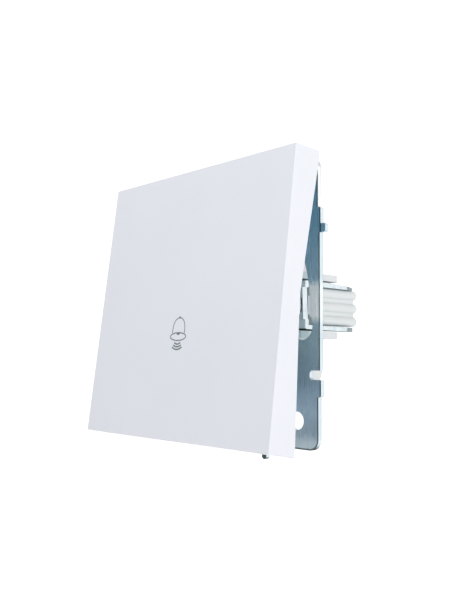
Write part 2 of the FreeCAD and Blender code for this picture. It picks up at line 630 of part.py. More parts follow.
def claw():
    """U-shaped claw of bent strip: a lipped base with the screw slot, two legs, a rolled edge."""
    outer_z = CLAW_INNER_Z + CLAW_T
    base_y = (CLAW_PIVOT_Y - CLAW_T / 2, CLAW_PIVOT_Y + CLAW_T / 2)
    bend_z = CLAW_INNER_Z - CLAW_BEND_R
    x = (CLAW_PIVOT_X, CLAW_OUTER_X)
    outer = box(x, (base_y[0], CLAW_TIP_Y), (-outer_z, outer_z))
    outer_bends = [e for e in outer.Edges if abs(e.tangentAt(e.FirstParameter).x) > 0.9
                   and e.BoundBox.YMax < base_y[0] + 0.01]
    outer = outer.makeFillet(CLAW_BEND_R + CLAW_T, outer_bends)
    inner = box((x[0] - 1, x[1] + 1), (base_y[1], CLAW_TIP_Y + 1), (-CLAW_INNER_Z, CLAW_INNER_Z))
    inner_bends = [e for e in inner.Edges if abs(e.tangentAt(e.FirstParameter).x) > 0.9
                   and e.BoundBox.YMax < base_y[1] + 0.01]
    channel = outer.cut(inner.makeFillet(CLAW_BEND_R, inner_bends))
    leg_y = base_y[1] + 2 * CLAW_T
    side = [(CLAW_PIVOT_X, base_y[0]), (CLAW_OUTER_X, base_y[0]), (CLAW_OUTER_X, leg_y)]
    side += [(CLAW_LEG_OUTER_X, leg_y + 3.5), (CLAW_LEG_OUTER_X, CLAW_BEVEL_Y), (CLAW_TIP_X, CLAW_TIP_Y)]
    side += [(CLAW_TIP_X - CLAW_TIP_W, CLAW_TIP_Y), (CLAW_LEG_INNER_X, CLAW_BEVEL_Y - 3)]
    side += [(CLAW_LEG_INNER_X, leg_y), (CLAW_PIVOT_X, base_y[1])]
    blank = channel.common(prism_z(side, (-outer_z, outer_z)))
    bead = rod_z(CLAW_PIVOT_X, CLAW_PIVOT_Y, CLAW_BEAD_R, (-bend_z, bend_z))
    lip_y = (base_y[0] - CLAW_LIP_H, CLAW_PIVOT_Y)
    lip = box((CLAW_OUTER_X - CLAW_LIP_T, CLAW_OUTER_X), lip_y, (-bend_z, bend_z))
    slot_y = (base_y[0] - 1, base_y[1] + 1)
    slot = box((CLAW_HOLE_X - CLAW_HOLE_R, CLAW_HOLE_X + CLAW_HOLE_R), slot_y,
               (-CLAW_HOLE_HALF_L, CLAW_HOLE_HALF_L))
    ends = [rod_y(CLAW_HOLE_X, z, CLAW_HOLE_R, slot_y) for z in (-CLAW_HOLE_HALF_L, CLAW_HOLE_HALF_L)]
    return blank.multiFuse([bead, lip]).cut([slot.multiFuse(ends)]).removeSplitter()


def cross_recess(x, y):
    """Cross-shaped driver recess that goes in along +Y from the given depth."""
    blades = []
    for long_x in (True, False):
        half_x = (RECESS_L if long_x else RECESS_W) / 2
        half_z = (RECESS_W if long_x else RECESS_L) / 2
        blades.append(box((x - half_x, x + half_x), (y - 1, y + RECESS_D), (-half_z, half_z)))
    return blades[0].fuse(blades[1])


def claw_screw():
    head_y = RING_FRONT_Y - CLAW_SCREW_HEAD_H
    head = rod_y(CLAW_SCREW_X, 0, CLAW_SCREW_HEAD_R, (head_y, RING_FRONT_Y))
    shank = rod_y(CLAW_SCREW_X, 0, CLAW_SCREW_R, (RING_FRONT_Y, CLAW_SCREW_END_Y))
    return head.fuse(shank).cut([cross_recess(CLAW_SCREW_X, head_y)]).removeSplitter()


def claw_nut():
    front = CLAW_PIVOT_Y + CLAW_T / 2 + CLAW_NUT_GAP
    y = (front, front + CLAW_NUT_T)
    half = CLAW_NUT_W / 2
    nut = box((CLAW_SCREW_X - half, CLAW_SCREW_X + half), y, (-half, half))
    return nut.cut([rod_y(CLAW_SCREW_X, 0, CLAW_SCREW_R, (y[0] - 1, y[1] + 1))])


def rivets():
    """Two rivets that clamp cover, ring and housing together."""
    group = []
    for x, z in diagonal(RIVET_X, RIVET_Z):
        shank = rod_y(x, z, RIVET_R, (COVER_FRONT_Y, HOUSING_DEPTH))
        head = rod_y(x, z, RIVET_HEAD_R, (COVER_FRONT_Y - RIVET_HEAD_H, COVER_FRONT_Y))
        closed = rod_y(x, z, RIVET_HEAD_R, (HOUSING_DEPTH, HOUSING_DEPTH + RIVET_HEAD_H))
        group.append(shank.multiFuse([head, closed]))
    return Part.makeCompound(group)


def plunger():
    """Pusher that slides in the front cover and carries the contact bridge."""
    head_y = plunger_head_y()
    stem = rod_y(0, PLUNGER_Z, PLUNGER_R, (head_y, FLANGE_FRONT_Y + 0.5))
    half = PLUNGER_FLANGE_HALF
    flange = box((-half, half), (FLANGE_FRONT_Y, FLANGE_BACK_Y), (PLUNGER_Z - half, PLUNGER_Z + half))
    uprights = [e for e in flange.Edges if abs(e.tangentAt(e.FirstParameter).y) > 0.9]
    flange = flange.makeChamfer(PLUNGER_FLANGE_T / 2, uprights)
    spigot = rod_y(0, PLUNGER_Z, PLUNGER_SPIGOT_R, (FLANGE_BACK_Y, FLANGE_BACK_Y + PLUNGER_SPIGOT_L))
    return flange.multiFuse([stem, spigot]).removeSplitter()


def contact_bridge():
    """Brass strip across the plunger, held against its flange by the return spring."""
    z = (PLUNGER_Z - BRIDGE_HALF_W, PLUNGER_Z + BRIDGE_HALF_W)
    strip = box((-BRIDGE_HALF_L, BRIDGE_HALF_L), (FLANGE_BACK_Y, BRIDGE_BACK_Y), z)
    uprights = [e for e in strip.Edges if abs(e.tangentAt(e.FirstParameter).y) > 0.9]
    strip = strip.makeChamfer(BRIDGE_CHAMFER, uprights)
    hole = rod_y(0, PLUNGER_Z, PLUNGER_SPIGOT_R + 0.1, (FLANGE_BACK_Y - 1, BRIDGE_BACK_Y + 1))
    return strip.cut([hole])


def contact_tips(front_y):
    """A pair of round contact tips, one on each side."""
    y = (front_y, front_y + CONTACT_T)
    return Part.makeCompound([rod_y(side * CONTACT_X, PLUNGER_Z, CONTACT_R, y) for side in (-1, 1)])


def contact_strip():
    """Fixed brass strip: a tab under the tip, and a tail into the terminal cage."""
    outer_x = CAGE_X + CAGE_W / 2 - CAGE_WALL - 0.2
    tab = box((STRIP_INNER_X, outer_x), (STRIP_Y, STRIP_Y + STRIP_T), (STRIP_TAIL_Z, STRIP_TOP_Z))
    tail_x = (CAGE_X - CAGE_W / 2 + CAGE_WALL + 0.2, outer_x)
    tail = box(tail_x, (STRIP_Y, FLOOR_Y - STRIP_END_GAP), (STRIP_TAIL_Z, STRIP_TAIL_Z + STRIP_T))
    return tab.fuse(tail).removeSplitter()


def terminal_cage():
    half = CAGE_W / 2
    y = (CAGE_FRONT_Y, CAGE_BACK_Y)
    outer = box((CAGE_X - half, CAGE_X + half), y, (CAGE_BOTTOM_Z, CAGE_TOP_Z))
    inner_half = half - CAGE_WALL
    inner = box((CAGE_X - inner_half, CAGE_X + inner_half), (y[0] - 1, y[1] + 1),
                (CAGE_BOTTOM_Z + CAGE_WALL, CAGE_TOP_Z - CAGE_WALL))
    floor_z = (CAGE_BOTTOM_Z - 1, CAGE_BOTTOM_Z + CAGE_WALL + 1)
    thread = rod_z(CAGE_X, CAGE_MIDDLE_Y, TERMINAL_SCREW_R, floor_z)
    return outer.cut([inner, thread])


def terminal_screw():
    """Clamp screw that goes up into the cage from the underside of the housing."""
    head_z = (CAGE_BOTTOM_Z - TERMINAL_SCREW_HEAD_H, CAGE_BOTTOM_Z)
    head = rod_z(CAGE_X, CAGE_MIDDLE_Y, TERMINAL_SCREW_HEAD_R, head_z)
    shank_z = (CAGE_BOTTOM_Z, CAGE_BOTTOM_Z + CAGE_WALL + TERMINAL_SCREW_REACH)
    shank = rod_z(CAGE_X, CAGE_MIDDLE_Y, TERMINAL_SCREW_R, shank_z)
    long = TERMINAL_SCREW_HEAD_R + 1
    half = TERMINAL_SLOT_W / 2
    slot = box((CAGE_X - long, CAGE_X + long), (CAGE_MIDDLE_Y - half, CAGE_MIDDLE_Y + half),
               (head_z[0] - 1, head_z[0] + TERMINAL_SLOT_D))
    return head.fuse(shank).cut([slot]).removeSplitter()


def return_spring():
    """Compression spring between the contact bridge and its seat in the housing."""
    low = BRIDGE_BACK_Y + SPRING_WIRE_R
    high = SPRING_SEAT_Y - SPRING_WIRE_R
    pitch = (high - low) / SPRING_TURNS
    helix = Part.makeHelix(pitch, high - low, SPRING_R)
    angles = [2 * math.pi * i / SPRING_WIRE_SIDES for i in range(SPRING_WIRE_SIDES)]
    rim = [vec(SPRING_R + SPRING_WIRE_R * math.cos(a), 0, SPRING_WIRE_R * math.sin(a)) for a in angles]
    wire = Part.makePolygon(rim + rim[:1])
    coil = Part.Wire(helix.Edges).makePipeShell([wire], True, True)
    coil.rotate(vec(0, 0, 0), vec(1, 0, 0), -90)
    coil.translate(vec(0, low, PLUNGER_Z))
    return coil


def save(name, shape):
    shape.exportStep(os.path.join("parts", name + ".step"))


def main():
    os.makedirs("parts", exist_ok=True)
    save("key_plate", at_rest(key_plate()))
    save("rocker", at_rest(rocker()))
    save("front_cover", front_cover())
    save("support_ring", support_ring())
    save("housing", housing())
    save("rivets", rivets())
    save("plunger", plunger())
    save("contact_bridge", contact_bridge())
    save("moving_contacts", contact_tips(BRIDGE_BACK_Y))
    save("fixed_contacts", contact_tips(FIXED_TIP_Y))
    save("return_spring", return_spring())
    pairs = {
        "claw": claw(),
        "claw_screw": claw_screw(),
        "claw_nut": claw_nut(),
        "contact_strip": contact_strip(),
        "terminal_cage": terminal_cage(),
        "terminal_screw": terminal_screw(),
    }
    for name, shape in pairs.items():
        save(name + "_right", shape)
        save(name + "_left", mirrored(shape))


main()
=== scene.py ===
import math

import bmesh
import bpy
from mathutils import Matrix, Vector


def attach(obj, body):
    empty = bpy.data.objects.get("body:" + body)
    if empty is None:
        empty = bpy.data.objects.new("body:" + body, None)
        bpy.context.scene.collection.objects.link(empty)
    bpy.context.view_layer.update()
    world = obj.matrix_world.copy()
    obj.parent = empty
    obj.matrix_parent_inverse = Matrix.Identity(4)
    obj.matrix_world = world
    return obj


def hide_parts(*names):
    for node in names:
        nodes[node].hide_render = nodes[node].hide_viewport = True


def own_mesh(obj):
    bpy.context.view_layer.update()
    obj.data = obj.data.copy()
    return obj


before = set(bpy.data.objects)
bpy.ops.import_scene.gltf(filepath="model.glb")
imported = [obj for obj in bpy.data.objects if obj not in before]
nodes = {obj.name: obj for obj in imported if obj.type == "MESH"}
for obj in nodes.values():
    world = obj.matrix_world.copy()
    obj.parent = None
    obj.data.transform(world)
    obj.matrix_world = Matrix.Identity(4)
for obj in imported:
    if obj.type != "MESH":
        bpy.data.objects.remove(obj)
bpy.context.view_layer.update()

# Camera, floor and light: the push hangs in front of a plain white sweep, seen from the
# right and slightly below, 0.2 m away. Two soft panels and an even grey room light it.
camera_data = bpy.data.cameras.new("camera")
camera_data.lens = 43.78
camera_data.clip_start = 0.01
camera = bpy.data.objects.new("camera", camera_data)
camera.location = (0.148320, -0.139024, -0.014129)
camera.rotation_euler = (1.650940, -0.007844, 0.816196)
bpy.context.scene.collection.objects.link(camera)
bpy.context.scene.camera = camera
bpy.context.scene.view_settings.view_transform = "Standard"


def node_adder(tree):
    """A function that adds a node to the tree, with its settings and its inputs."""
    def add(kind, inputs=None, **settings):
        node = tree.nodes.new(kind)
        for key, value in settings.items():
            setattr(node, key, value)
        for key, value in (inputs or {}).items():
            if isinstance(value, bpy.types.NodeSocket):
                tree.links.new(value, node.inputs[key])
            else:
                node.inputs[key].default_value = value
        return node

    return add


def finish_tools(material):
    """A material's shader, its node adder, and a function that wires an output to it."""
    tree = material.node_tree
    shader = tree.nodes["Principled BSDF"]

    def wire(output, socket):
        tree.links.new(output, shader.inputs[socket])

    return shader, node_adder(tree), wire


def new_finish(name):
    """A new material and its tools."""
    material = bpy.data.materials.new(name)
    material.use_nodes = True
    return (material, *finish_tools(material))


def toned(add, factor, *stops):
    """A colour that follows factor through the stops, each a place and a colour."""
    scale = add("ShaderNodeValToRGB", {"Fac": factor})
    elements = scale.color_ramp.elements
    for element, (place, colour) in zip(elements, (stops[0], stops[-1])):
        element.position = place
        element.color = (*colour, 1)
    for place, colour in stops[1:-1]:
        elements.new(place).color = (*colour, 1)
    return scale.outputs["Color"]


def fade(add, value, start, end, low=0.0, high=1.0):
    """Low where value is at start, high where it is at end, and even between them."""
    ends = {"Value": value, "From Min": start, "From Max": end, "To Min": low, "To Max": high}
    return add("ShaderNodeMapRange", ends).outputs["Result"]


def mix(add, factor, first, second, data_type="RGBA", blend_type="MIX"):
    """The first colour or number where factor is 0, and the second where it is 1."""
    return add("ShaderNodeMix", {"Factor": factor, "A": first, "B": second},
               data_type=data_type, blend_type=blend_type).outputs["Result"]


sweep_half_w, sweep_skew, sweep_away = 0.95, 0.9, 0.72
glow_from, glow_full, glow_most = 0.32, 0.60, 0.5
sweep_profile = [(-1.6, -0.25), (0.9, -0.25), (1.25, -0.20), (1.45, -0.05), (1.5, 0.3), (1.5, 2.2)]
points = []
for along, height in sweep_profile:
    for side in (-1, 1):
        points.append((side * sweep_half_w - along * sweep_away,
                       along * sweep_away + side * sweep_half_w * sweep_skew, height))
faces = []
for first in range(0, len(points) - 2, 2):
    faces.append((first, first + 1, first + 3, first + 2))
floor_mesh = bpy.data.meshes.new("floor")
floor_mesh.from_pydata(points, [], faces)
floor = bpy.data.objects.new("floor", floor_mesh)
bpy.context.scene.collection.objects.link(floor)
for polygon in floor_mesh.polygons:
    polygon.use_smooth = True
floor_paint, shader, add, wire = new_finish("floor_paint")
where = add("ShaderNodeTexCoord").outputs["Object"]
cloud = add("ShaderNodeTexNoise", {"Vector": where, "Scale": 2.0}).outputs["Fac"]
wire(toned(add, cloud, (0.0, (0.93, 0.93, 0.93)), (1.0, (0.96, 0.96, 0.96))), "Base Color")
distance = add("ShaderNodeVectorMath", {0: where}, operation="LENGTH").outputs["Value"]
wire(fade(add, distance, glow_from, glow_full, 0.0, glow_most), "Emission Strength")
shader.inputs["Roughness"].default_value = 0.9
shader.inputs["Emission Color"].default_value = (1, 1, 1, 1)
floor_mesh.materials.append(floor_paint)

world = bpy.data.worlds.new("studio")
world.use_nodes = True
sky = world.node_tree
add = node_adder(sky)
around = add("ShaderNodeTexCoord").outputs["Generated"]
room = (0.555, 0.555, 0.555, 1)
pale_patch = (0.64, 0.77, 0.10), 8, 24, (1.15, 1.15, 1.15, 1)
dim_patch = (0.19, 0.98, 0.08), 7, 15, (0.38, 0.43, 0.45, 1)
for toward, inner_deg, outer_deg, shade in (pale_patch, dim_patch):
    facing = add("ShaderNodeVectorMath", {0: around, 1: Vector(toward).normalized()},
                 operation="DOT_PRODUCT").outputs["Value"]
    outer, inner = math.cos(math.radians(outer_deg)), math.cos(math.radians(inner_deg))
    room = mix(add, fade(add, facing, outer, inner), room, shade)
sky.links.new(room, sky.nodes["Background"].inputs["Color"])
sky.nodes["Background"].inputs["Strength"].default_value = 1.0
bpy.context.scene.world = world


def soft_panel(name, place, size, watts, tint=(1, 1, 1)):
    """A square softbox aimed at the ring's centre."""
    data = bpy.data.lights.new(name, "AREA")
    data.shape = "SQUARE"
    data.size = size
    data.energy = watts
    data.color = tint
    lamp = bpy.data.objects.new(name, data)
    lamp.location = place
    lamp.rotation_euler = (-Vector(place)).to_track_quat("-Z", "Y").to_euler()
    bpy.context.scene.collection.objects.link(lamp)


soft_panel("side_panel", (0.58, -0.12, 0.12), 0.50, 1.10, (1.0, 0.965, 0.925))
soft_panel("front_panel", (0.04, -0.16, 0.26), 0.18, 0.20)


# The key plate: one injection moulding in white polycarbonate with a fine satin grain.
# It snaps on the rocker with four clips, and its skirt hides the works.
def dress(name, material):
    """Gives a CAD piece its finish."""
    mesh = nodes[name].data
    if mesh.materials:
        for index in range(len(mesh.materials)):
            mesh.materials[index] = material
    else:
        mesh.materials.append(material)


def moulded(name, light, dark, roughness, grain_mm, grain_depth_mm):
    """Moulded plastic: slight colour drift, uneven gloss and a fine eroded grain."""
    material, shader, add, wire = new_finish(name)
    where = add("ShaderNodeTexCoord").outputs["Object"]
    drift = add("ShaderNodeTexNoise", {"Vector": where, "Scale": 45.0, "Detail": 3.0})
    wire(toned(add, drift.outputs["Fac"], (0.3, dark), (0.7, light)), "Base Color")
    grain = add("ShaderNodeTexNoise", {"Vector": where, "Scale": 1000 / grain_mm,
                                       "Detail": 2.0}).outputs["Fac"]
    wire(fade(add, grain, 0.0, 1.0, roughness - 0.05, roughness + 0.05), "Roughness")
    relief = add("ShaderNodeBump", {"Height": grain, "Strength": 0.35,
                                    "Distance": grain_depth_mm / 1000})
    wire(relief.outputs["Normal"], "Normal")
    shader.inputs["IOR"].default_value = 1.5
    return material


dress("key_plate", moulded("satin_white_plastic", (0.850, 0.875, 0.940), (0.832, 0.858, 0.924),
                           0.42, 0.35, 0.012))

# The bell and its three sound arcs: grey-green ink, pad-printed on the key's face in
# lines 0.24 to 0.40 mm wide. They stand 0.02 mm proud and tilt with the key at rest.
key_tilt = math.radians(-7.3)
key_pivot_y, pivot_to_face = -0.00815, 0.00771
ink_proud, ink_sunk = 0.02, 0.01
dome_w, knob_w, mouth_w, clapper_w, clapper_top_w, arc_w = 0.26, 0.34, 0.30, 0.28, 0.24, 0.40
bell_x = 0.50
knob_z, knob_scale = -4.46, 0.55
mouth_z, mouth_half_w, mouth_half_h, mouth_steps = -9.53, 3.1, 1.03, 72
arc_steps = 16


def inked_line(mesh, points, width, closed=False):
    """A flat printed line through (x, z) points in millimetres."""
    count = len(points)
    rows = []
    for index, (x, z) in enumerate(points):
        before = points[index - 1] if closed or index > 0 else points[index]
        after = points[(index + 1) % count] if closed or index < count - 1 else points[index]
        along = Vector((after[0] - before[0], after[1] - before[1])).normalized()
        across = Vector((-along.y, along.x)) * width / 2
        row = []
        for side, y in ((-1, ink_sunk), (-1, -ink_proud), (1, -ink_proud), (1, ink_sunk)):
            row.append(mesh.verts.new(((x + side * across.x) / 1000, y / 1000,
                                       (z + side * across.y) / 1000)))
        rows.append(row)
    for index in range(count if closed else count - 1):
        near, far = rows[index], rows[(index + 1) % count]
        for corner in range(4):
            other = (corner + 1) % 4
            mesh.faces.new((near[corner], far[corner], far[other], near[other]))
    if not closed:
        mesh.faces.new(rows[0])
        mesh.faces.new(rows[-1][::-1])


def smooth_path(points, steps=8):
    """Points on a curve through the given ones."""
    path = []
    for index in range(len(points) - 1):
        start, end = points[index], points[index + 1]
        before, after = points[max(index - 1, 0)], points[min(index + 2, len(points) - 1)]
        for step in range(steps):
            t = step / steps
            spot = []
            for a, b, c, d in zip(before, start, end, after):
                spot.append(0.5 * (2 * b + (c - a) * t + (2 * a - 5 * b + 4 * c - d) * t * t
                                   + (3 * b - a - 3 * c + d) * t ** 3))
            path.append(tuple(spot))
    path.append(points[-1])
    return path


ink = bmesh.new()
dome = [(2.45, -8.62), (2.42, -7.6), (2.25, -6.45), (1.78, -5.45), (1.08, -4.83), (0.3, -4.52)]
for side in (-1, 1):
    inked_line(ink, smooth_path([(bell_x + side * x, z) for x, z in dome]), dome_w)
knob = []
for x, z in ((0.45, -4.62), (0.32, -4.3), (0.0, -4.12), (-0.32, -4.3), (-0.45, -4.62),
             (0.0, -4.72)):
    knob.append((bell_x + x * knob_scale, knob_z + (z - knob_z) * knob_scale))
inked_line(ink, knob, knob_w, closed=True)
mouth = []
for step in range(mouth_steps):
    angle = 2 * math.pi * step / mouth_steps
    mouth.append((bell_x + mouth_half_w * math.cos(angle),
                  mouth_z + mouth_half_h * math.sin(angle)))
inked_line(ink, mouth, mouth_w, closed=True)
clapper = [(0.62, -8.66), (0.3, -8.92), (-0.08, -9.02), (-0.42, -8.9), (-0.55, -8.66)]
inked_line(ink, smooth_path([(bell_x + x, z) for x, z in clapper]), clapper_w)
inked_line(ink, [(bell_x - 0.35, -8.75), (bell_x + 0.35, -8.75)], clapper_top_w)
for reach, ends_z, middle_z in ((1.2, -11.1, -11.52), (1.57, -11.75, -12.22),
                                (1.93, -12.3, -12.93)):
    arc = []
    for step in range(arc_steps + 1):
        share = 2 * step / arc_steps - 1
        arc.append((bell_x + reach * share, middle_z + (ends_z - middle_z) * share * share))
    inked_line(ink, arc, arc_w)
ink_mesh = bpy.data.meshes.new("bell_print")
ink.to_mesh(ink_mesh)
ink.free()
bell_print = bpy.data.objects.new("bell_print", ink_mesh)
bpy.context.scene.collection.objects.link(bell_print)
bell_print.matrix_world = (Matrix.Translation((0, key_pivot_y, 0))
                           @ Matrix.Rotation(key_tilt, 4, "X")
                           @ Matrix.Translation((0, -pivot_to_face, 0)))
print_ink, shader, add, wire = new_finish("print_ink")
where = add("ShaderNodeTexCoord").outputs["Object"]
dots = add("ShaderNodeTexNoise", {"Vector": where, "Scale": 2600.0, "Detail": 2.0}).outputs["Fac"]
wire(toned(add, dots, (0.0, (0.13, 0.17, 0.17)), (1.0, (0.23, 0.28, 0.28))), "Base Color")
shader.inputs["Roughness"].default_value = 0.55
ink_mesh.materials.append(print_ink)
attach(bell_print, "key")

# Rocker and front cover: light grey glass-filled nylon, moulded dull. The rocker turns
# on two trunnions in the cover's cheeks, and the cover's spigot reaches through the ring.
nylon_look = (0.765, 0.800, 0.815), (0.735, 0.772, 0.790), 0.55, 0.5, 0.02
body_grey = moulded("grey_nylon", *nylon_look)
for name in ("rocker", "front_cover"):
    dress(name, body_grey)

# The contact block: a box of the same nylon with ribbed pillars and claw guides at its
# sides, riveted behind the ring. Near the ring the pillars and guides carry painted shade, bluish
# and darker below the middle.
pillar_x = 0.0195
shade_full_y, shade_ends_y = 0.0062, 0.0092
shade_below, shade_above = (0.50, 0.64, 0.67, 1), (0.66, 0.75, 0.79, 1)


def sums(add, operation, first, second=0.0):
    """One step of arithmetic with a socket and a second socket or number."""
    return add("ShaderNodeMath", {0: first, 1: second}, operation=operation).outputs["Value"]


shaded_grey = moulded("housing_nylon", *nylon_look)
shader, add, wire = finish_tools(shaded_grey)
spot = add("ShaderNodeSeparateXYZ", {"Vector": add("ShaderNodeTexCoord").outputs["Object"]})
near_ring = fade(add, spot.outputs["Y"], shade_ends_y, shade_full_y)
at_sides = sums(add, "GREATER_THAN", sums(add, "ABSOLUTE", spot.outputs["X"]), pillar_x)
above = sums(add, "GREATER_THAN", spot.outputs["Z"], 0.0)
# Painted shade: near the ring the block's sides are multiplied by a bluish grey, darker below the
# middle.
wire(mix(add, sums(add, "MULTIPLY", near_ring, at_sides),
         shader.inputs["Base Color"].links[0].from_socket,
         mix(add, above, shade_below, shade_above), blend_type="MULTIPLY"), "Base Color")
dress("housing", shaded_grey)

# The support ring and its two rivets: stamped steel, zinc plated and blue passivated. The
# room-side face carries a painted reflection tint that changes down the ring, a pale band of
# painted light at the claws' level, and painted dark shade along its stepped outline and bottom
# tab. Low down-facing faces are painted near black, and the upper sheared sides near white.
corner_r = 0.0028
half_w, half_h = 0.0355, 0.0370
inset_w, inset_h = 0.0347, 0.0362
step_at = 0.0233
waist_z, waist_inset = 0.0169, 0.00025
band_z, band_fades_z = 0.0036, 0.0056
band_x, band_fades_x = 0.0280, 0.0265
reflection_tint_foot, reflection_tint_top = -0.034, 0.022
rim_starts, rim_full, edge_slack = -0.00050, -0.00025, 0.0001
tab_z, foot_z = -0.0372, -0.030


def plated(name, light, dark, roughness, mottle, streak, rim_mm=0.06):
    """Zinc-plated steel: mottled tone, rolling streaks and fine scratches."""
    material, shader, add, wire = new_finish(name)
    where = add("ShaderNodeTexCoord").outputs["Object"]
    patches = add("ShaderNodeTexNoise", {"Vector": where, "Scale": mottle, "Detail": 5.0,
                                         "Roughness": 0.6}).outputs["Fac"]
    wire(toned(add, patches, (0.32, dark), (0.72, light)), "Base Color")
    stretch = add("ShaderNodeMapping", {"Vector": where, "Scale": (9.0, 9.0, 0.6)})
    lines = add("ShaderNodeTexNoise", {"Vector": stretch.outputs["Vector"], "Scale": streak,
                                       "Detail": 4.0}).outputs["Fac"]
    wire(fade(add, lines, 0.3, 0.7, roughness - 0.08, roughness + 0.10), "Roughness")
    rolled = add("ShaderNodeBevel", {"Radius": rim_mm / 1000}, samples=6)
    relief = add("ShaderNodeBump", {"Height": lines, "Strength": 0.2, "Distance": 0.000006,
                                    "Normal": rolled.outputs["Normal"]})
    wire(relief.outputs["Normal"], "Normal")
    shader.inputs["Metallic"].default_value = 1.0
    return material


zinc_sheet = plated("zinc_sheet", (0.81, 0.91, 0.96), (0.71, 0.82, 0.89), 0.30, 160.0, 200.0, 0.22)
shader, add, wire = finish_tools(zinc_sheet)
where = add("ShaderNodeTexCoord")
spot = add("ShaderNodeSeparateXYZ", {"Vector": where.outputs["Object"]})
facing = add("ShaderNodeSeparateXYZ", {"Vector": where.outputs["Normal"]})
wide = sums(add, "ABSOLUTE", spot.outputs["X"])
high = sums(add, "ABSOLUTE", spot.outputs["Z"])
room_side = sums(add, "LESS_THAN", facing.outputs["Y"], -0.5)

# Painted reflection: the room-side face is tinted by height, grey at the foot to blue at the top,
# with lighter and darker steps between.
reflection_tint = toned(add, fade(add, spot.outputs["Z"], reflection_tint_foot, reflection_tint_top),
            (0.0, (0.67, 0.71, 0.72)), (0.12, (0.85, 0.94, 0.97)), (0.25, (0.63, 0.73, 0.77)),
            (0.43, (0.71, 0.85, 0.83)), (0.77, (0.66, 0.86, 0.91)), (1.0, (0.56, 0.86, 0.96)))
finish = mix(add, room_side, shader.inputs["Base Color"].links[0].from_socket, reflection_tint,
             blend_type="MULTIPLY")
# Painted light: a pale, less metallic band across the face at the claws' level.
lit_band = sums(add, "MULTIPLY", fade(add, high, band_fades_z, band_z),
            fade(add, wide, band_fades_x, band_x))
finish = mix(add, lit_band, finish, (0.92, 1.00, 1.00, 1))

# Painted shade: a dark line along the room-side face's stepped outline, and over the bottom tab.
past_x = sums(add, "SUBTRACT", wide, inset_w - corner_r)
past_z = sums(add, "SUBTRACT", high, inset_h - corner_r)
round_x = sums(add, "POWER", sums(add, "MAXIMUM", past_x, 0.0), 2.0)
round_z = sums(add, "POWER", sums(add, "MAXIMUM", past_z, 0.0), 2.0)
from_centre = sums(add, "POWER", sums(add, "ADD", round_x, round_z), 0.5)
to_corner = sums(add, "ADD", sums(add, "SUBTRACT", from_centre, corner_r),
                 sums(add, "MINIMUM", sums(add, "MAXIMUM", past_x, past_z), 0.0))
waist = sums(add, "MULTIPLY", sums(add, "LESS_THAN", high, waist_z), waist_inset)
to_side = sums(add, "ADD", sums(add, "SUBTRACT", wide, half_w), waist)
to_end = sums(add, "SUBTRACT", high, half_h)
to_edge = mix(add, sums(add, "LESS_THAN", wide, step_at), to_corner, to_end, "FLOAT")
to_edge = mix(add, sums(add, "LESS_THAN", high, step_at), to_edge, to_side, "FLOAT")
rim = fade(add, to_edge, rim_starts, rim_full, 0.0, 0.95)
on_ring = sums(add, "MAXIMUM", sums(add, "LESS_THAN", to_edge, edge_slack),
               sums(add, "LESS_THAN", spot.outputs["Z"], tab_z))
rolled = sums(add, "MULTIPLY", sums(add, "MULTIPLY", rim, on_ring), room_side)
finish = mix(add, rolled, finish, (0.06, 0.08, 0.08, 1))

# Painted shade: faces looking down, low on the ring, are near black and rough.
shaded_underside = sums(add, "MULTIPLY", fade(add, facing.outputs["Z"], -0.5, -0.9),
                 sums(add, "LESS_THAN", spot.outputs["Z"], foot_z))
finish = mix(add, shaded_underside, finish, (0.06, 0.07, 0.07, 1))
# Painted highlight: the sheared sides that face left and right, above the step, are near white.
lit_sheared_sides = sums(add, "GREATER_THAN", sums(add, "ABSOLUTE", facing.outputs["X"]), 0.7)
lit_sheared_sides = sums(add, "MULTIPLY", lit_sheared_sides, sums(add, "GREATER_THAN", spot.outputs["Z"], step_at))
wire(mix(add, lit_sheared_sides, finish, (0.96, 1.00, 1.00, 1)), "Base Color")
wire(fade(add, lit_band, 0.0, 1.0, 1.0, 0.22), "Metallic")
matt = add("ShaderNodeMath", {0: shader.inputs["Roughness"].links[0].from_socket, 1: shaded_underside},
           operation="ADD", use_clamp=True)
wire(matt.outputs["Value"], "Roughness")
for name in ("support_ring", "rivets"):
    dress(name, zinc_sheet)

# The spreader claws: each one strip of zinc-plated steel bent to a U, with an oval screw
# hole, an outer edge curled forward, a rolled inner edge that rocks in the block, and
# thinned tips that bite into the wall box. All sizes are in millimetres.
strip_t = 1.35
rock_y = 5.6
base_front, base_back, base_half_h = 4.925, 6.275, 4.75
base_inner_x, base_outer_x = 19.5, 25.4
upper_in, upper_out = 5.00, 6.33
lower_in, lower_out = 5.22, 6.34
bend_outer_r, bend_inner_r, bend_steps = 0.55, 0.12, 6
bead_x, bead_r, bead_least = 20.2, 0.7, 0.02
curl_x, curl_reach, curl_slope, curl_swell = 23.9, 0.78, 0.045, 0.25
lip_top, lip_foot, base_foot = 4.5, -3.8, -4.6
hole_x, hole_half_w, hole_half_h = 22.75, 1.95, 2.45
leg_inner_x, leg_narrows_y, leg_steps = 20.1, 12.0, 20
leg_inner_in, leg_outer_in = 1.5, 0.2
heel_y, tip_y = base_back + bend_inner_r, 26.7
thinned_from, thinned_to, thinned_by, tip_thinned_by = 14.0, 22.0, 0.27, 0.20
splay_from, splay_to, splay_by = 7.0, 14.0, 0.10
tip_inner_from, tip_outer_from, tip_in, middle_shift = 20.0, 23.0, 1.2, 0.4
columns, shade_index, lit_face_index = 9, 1, 2


def ramp(value, low, high):
    """0 up to low, 1 from high on, and an even rise between them."""
    return min(max((value - low) / (high - low), 0.0), 1.0)


